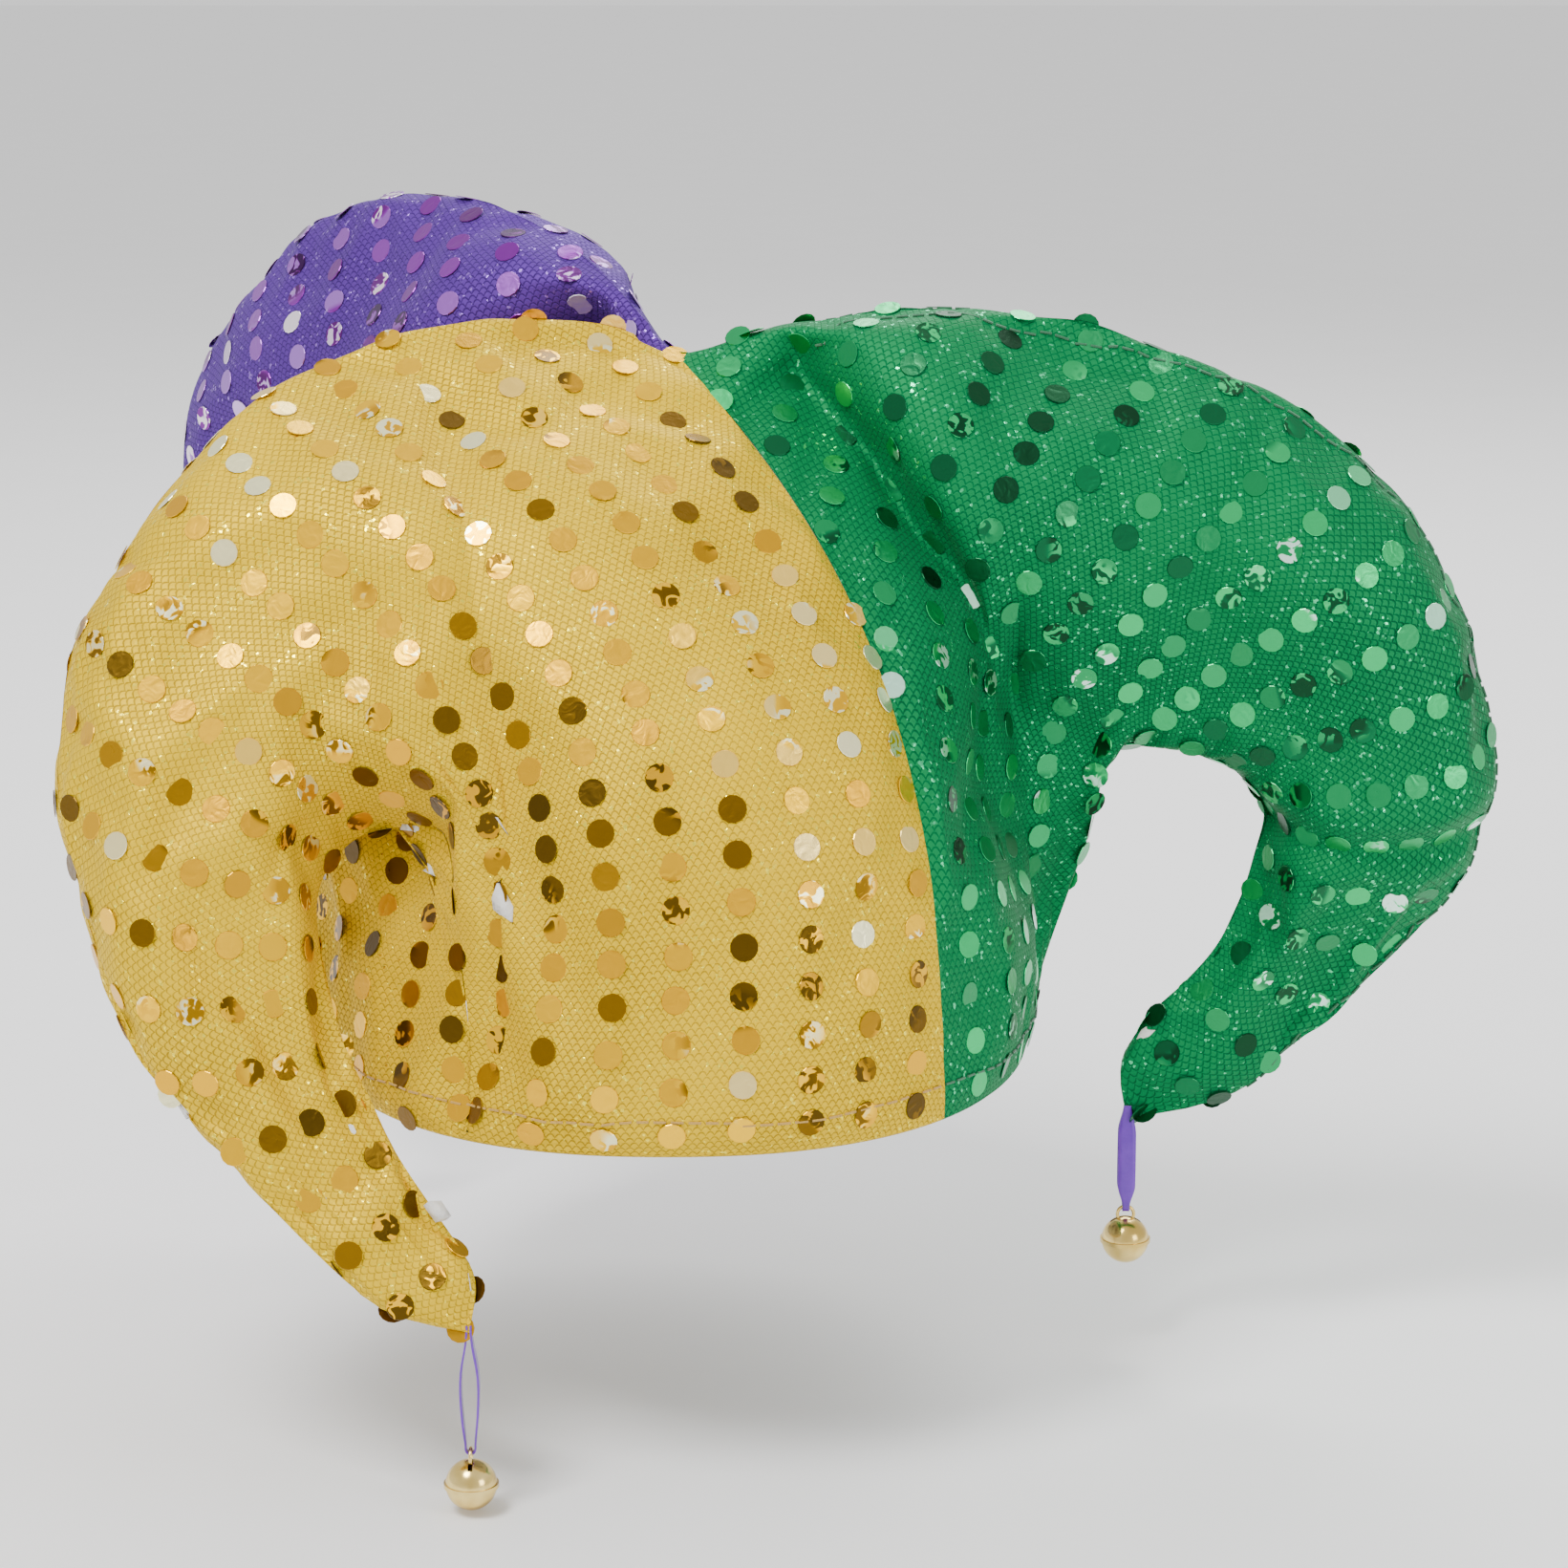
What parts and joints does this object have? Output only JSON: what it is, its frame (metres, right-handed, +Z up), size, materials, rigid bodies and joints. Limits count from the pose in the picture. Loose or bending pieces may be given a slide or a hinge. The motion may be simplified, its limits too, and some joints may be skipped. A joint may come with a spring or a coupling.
{
  "type": "jester hat",
  "caption": "Three-point jester hat of coloured sequinned cloth panels on a foam lining, each curling point ending in a small bell on a ribbon loop.",
  "frame": {"origin": "middle of the head opening, in the plane of the hem", "axes": "+Z up through the apex, -Y towards the front of the head opening, +X out towards the green point"},
  "size_m": [0.3229, 0.259, 0.2568],
  "materials": {
    "yellow_cloth": "satin",
    "green_cloth": "satin",
    "purple_cloth": "satin",
    "lining_foam": "matte",
    "ribbon_satin": "satin",
    "bell_gold": "polished",
    "pellet_steel": "satin"
  },
  "bodies": {
    "cap": {"yellow_left_panel": "yellow_cloth", "yellow_right_panel": "yellow_cloth", "yellow_cap_lining": "lining_foam", "green_left_panel": "green_cloth", "green_right_panel": "green_cloth", "green_cap_lining": "lining_foam", "purple_left_panel": "purple_cloth", "purple_right_panel": "purple_cloth", "purple_cap_lining": "lining_foam"},
    "yellow_point_end": {"yellow_point_lining": "lining_foam"},
    "yellow_ribbon_loop": {"yellow_ribbon": "ribbon_satin"},
    "yellow_bell": {"yellow_bell_top": "bell_gold", "yellow_bell_bottom": "bell_gold", "yellow_bell_shank": "bell_gold"},
    "yellow_pellet": {"yellow_bell_pellet": "pellet_steel"},
    "green_point_end": {"green_point_lining": "lining_foam"},
    "green_ribbon_loop": {"green_ribbon": "ribbon_satin"},
    "green_bell": {"green_bell_top": "bell_gold", "green_bell_bottom": "bell_gold", "green_bell_shank": "bell_gold"},
    "green_pellet": {"green_bell_pellet": "pellet_steel"},
    "purple_point_end": {"purple_point_lining": "lining_foam"},
    "purple_ribbon_loop": {"purple_ribbon": "ribbon_satin"},
    "purple_bell": {"purple_bell_top": "bell_gold", "purple_bell_bottom": "bell_gold", "purple_bell_shank": "bell_gold"},
    "purple_pellet": {"purple_bell_pellet": "pellet_steel"}
  },
  "joints": [
    {"name": "yellow_point_flop", "type": "hinge", "parent": "cap", "child": "yellow_point_end", "pos_m": [-0.10147, -0.06889, 0.04804], "axis": [-0.1406, 0.8877, -0.4384], "range_deg": [-6, 40], "stiffness_Nm_per_rad": 0.06, "springref_deg": -1.58, "deforming": ["yellow_left_panel", "yellow_right_panel"]},
    {"name": "yellow_ribbon_swing", "type": "hinge", "parent": "yellow_point_end", "child": "yellow_ribbon_loop", "pos_m": [-0.04169, -0.10114, -0.03644], "axis": [1, 0, 0], "range_deg": [-45, 45]},
    {"name": "yellow_bell_swing", "type": "hinge", "parent": "yellow_ribbon_loop", "child": "yellow_bell", "pos_m": [-0.04169, -0.10114, -0.06444], "axis": [0, -1, 0], "range_deg": [-50, 50]},
    {"name": "yellow_pellet_rattle", "type": "slide", "parent": "yellow_bell", "child": "yellow_pellet", "axis": [0, 0, 1], "range_m": [0, 0.0073]},
    {"name": "green_point_flop", "type": "hinge", "parent": "cap", "child": "green_point_end", "pos_m": [0.159, 0, 0.06], "axis": [0, -1, 0], "range_deg": [-10, 40], "stiffness_Nm_per_rad": 0.06, "springref_deg": -1.76, "deforming": ["green_left_panel", "green_right_panel"]},
    {"name": "green_ribbon_swing", "type": "hinge", "parent": "green_point_end", "child": "green_ribbon_loop", "pos_m": [0.104, 0, -0.0195], "axis": [0, 1, 0], "range_deg": [-45, 45]},
    {"name": "green_bell_swing", "type": "hinge", "parent": "green_ribbon_loop", "child": "green_bell", "pos_m": [0.104, 0, -0.0445], "axis": [1, 0, 0], "range_deg": [-50, 50]},
    {"name": "green_pellet_rattle", "type": "slide", "parent": "green_bell", "child": "green_pellet", "axis": [0, 0, 1], "range_m": [0, 0.0073]},
    {"name": "purple_point_flop", "type": "hinge", "parent": "cap", "child": "purple_point_end", "pos_m": [-0.10606, 0.1264, 0.077], "axis": [0.766, 0.6428, 0], "range_deg": [-10, 40], "stiffness_Nm_per_rad": 0.06, "springref_deg": -0.95, "deforming": ["purple_left_panel", "purple_right_panel"]},
    {"name": "purple_ribbon_swing", "type": "hinge", "parent": "purple_point_end", "child": "purple_ribbon_loop", "pos_m": [-0.08131, 0.09691, -0.0015], "axis": [1, 0, 0], "range_deg": [-45, 45]},
    {"name": "purple_bell_swing", "type": "hinge", "parent": "purple_ribbon_loop", "child": "purple_bell", "pos_m": [-0.08131, 0.09691, -0.0275], "axis": [0, -1, 0], "range_deg": [-50, 50]},
    {"name": "purple_pellet_rattle", "type": "slide", "parent": "purple_bell", "child": "purple_pellet", "axis": [0, 0, 1], "range_m": [0, 0.0073]}
  ]
}
